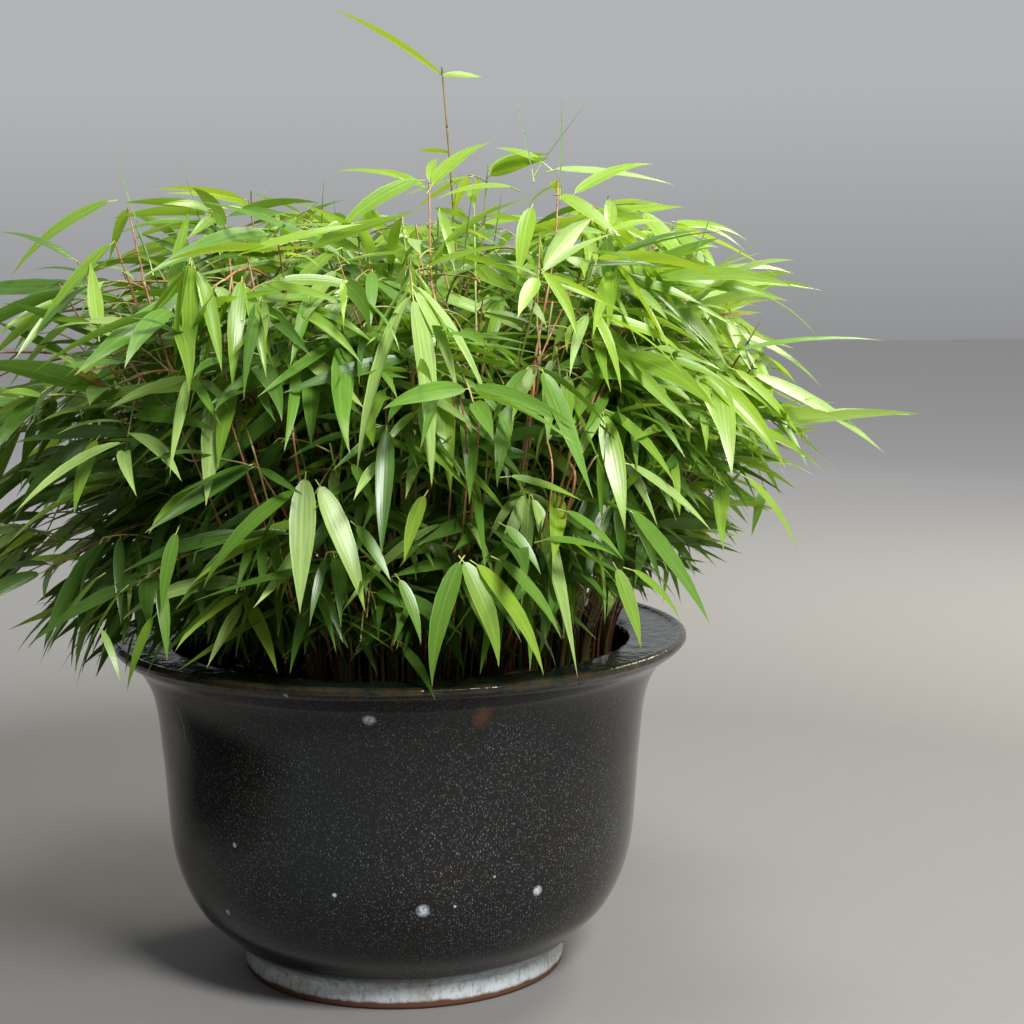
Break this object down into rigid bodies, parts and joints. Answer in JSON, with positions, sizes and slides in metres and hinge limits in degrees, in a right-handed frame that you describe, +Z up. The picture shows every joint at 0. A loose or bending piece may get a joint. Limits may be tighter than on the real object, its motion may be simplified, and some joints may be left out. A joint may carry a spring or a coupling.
{
  "type": "potted bamboo",
  "caption": "Low clumping bamboo with thin arching canes and a broad dome of narrow leaves, in a round dark glazed pot with a flared rim.",
  "frame": {"origin": "centre of the pot's flat underside, at the level that it stands on", "axes": "+Z up, along the pot's axis; -Y is the front that the picture shows, and +X is to its right"},
  "size_m": [0.8774, 0.8509, 0.8255],
  "materials": {
    "glaze": "gloss",
    "compost": "matte",
    "cane": "satin",
    "leaf": "satin"
  },
  "bodies": {
    "root": {"pot": "glaze", "compost": "compost", "cane_low_1": "cane", "cane_low_2": "cane", "cane_low_3": "cane", "cane_low_4": "cane", "cane_low_5": "cane", "cane_low_6": "cane", "cane_low_7": "cane", "cane_low_8": "cane", "cane_low_9": "cane", "cane_low_10": "cane", "cane_side_1": "cane", "cane_side_2": "cane", "cane_side_3": "cane", "cane_side_4": "cane", "cane_side_5": "cane", "cane_side_6": "cane", "cane_side_7": "cane", "cane_mid_1": "cane", "cane_mid_2": "cane", "cane_mid_3": "cane", "cane_mid_4": "cane", "cane_mid_5": "cane", "cane_mid_6": "cane", "cane_mid_7": "cane", "cane_high_1": "cane", "cane_high_2": "cane", "cane_high_3": "cane", "cane_high_4": "cane", "cane_tall": "cane", "foliage_low_1": "leaf", "foliage_low_2": "leaf", "foliage_low_3": "leaf", "foliage_low_4": "leaf", "foliage_low_5": "leaf", "foliage_low_6": "leaf", "foliage_low_7": "leaf", "foliage_low_8": "leaf", "foliage_low_9": "leaf", "foliage_low_10": "leaf", "foliage_side_1": "leaf", "foliage_side_2": "leaf", "foliage_side_3": "leaf", "foliage_side_4": "leaf", "foliage_side_5": "leaf", "foliage_side_6": "leaf", "foliage_side_7": "leaf", "foliage_mid_1": "leaf", "foliage_mid_2": "leaf", "foliage_mid_3": "leaf", "foliage_mid_4": "leaf", "foliage_mid_5": "leaf", "foliage_mid_6": "leaf", "foliage_mid_7": "leaf", "foliage_high_1": "leaf", "foliage_high_2": "leaf", "foliage_high_3": "leaf", "foliage_high_4": "leaf", "foliage_tall": "leaf"}
  },
  "joints": []
}
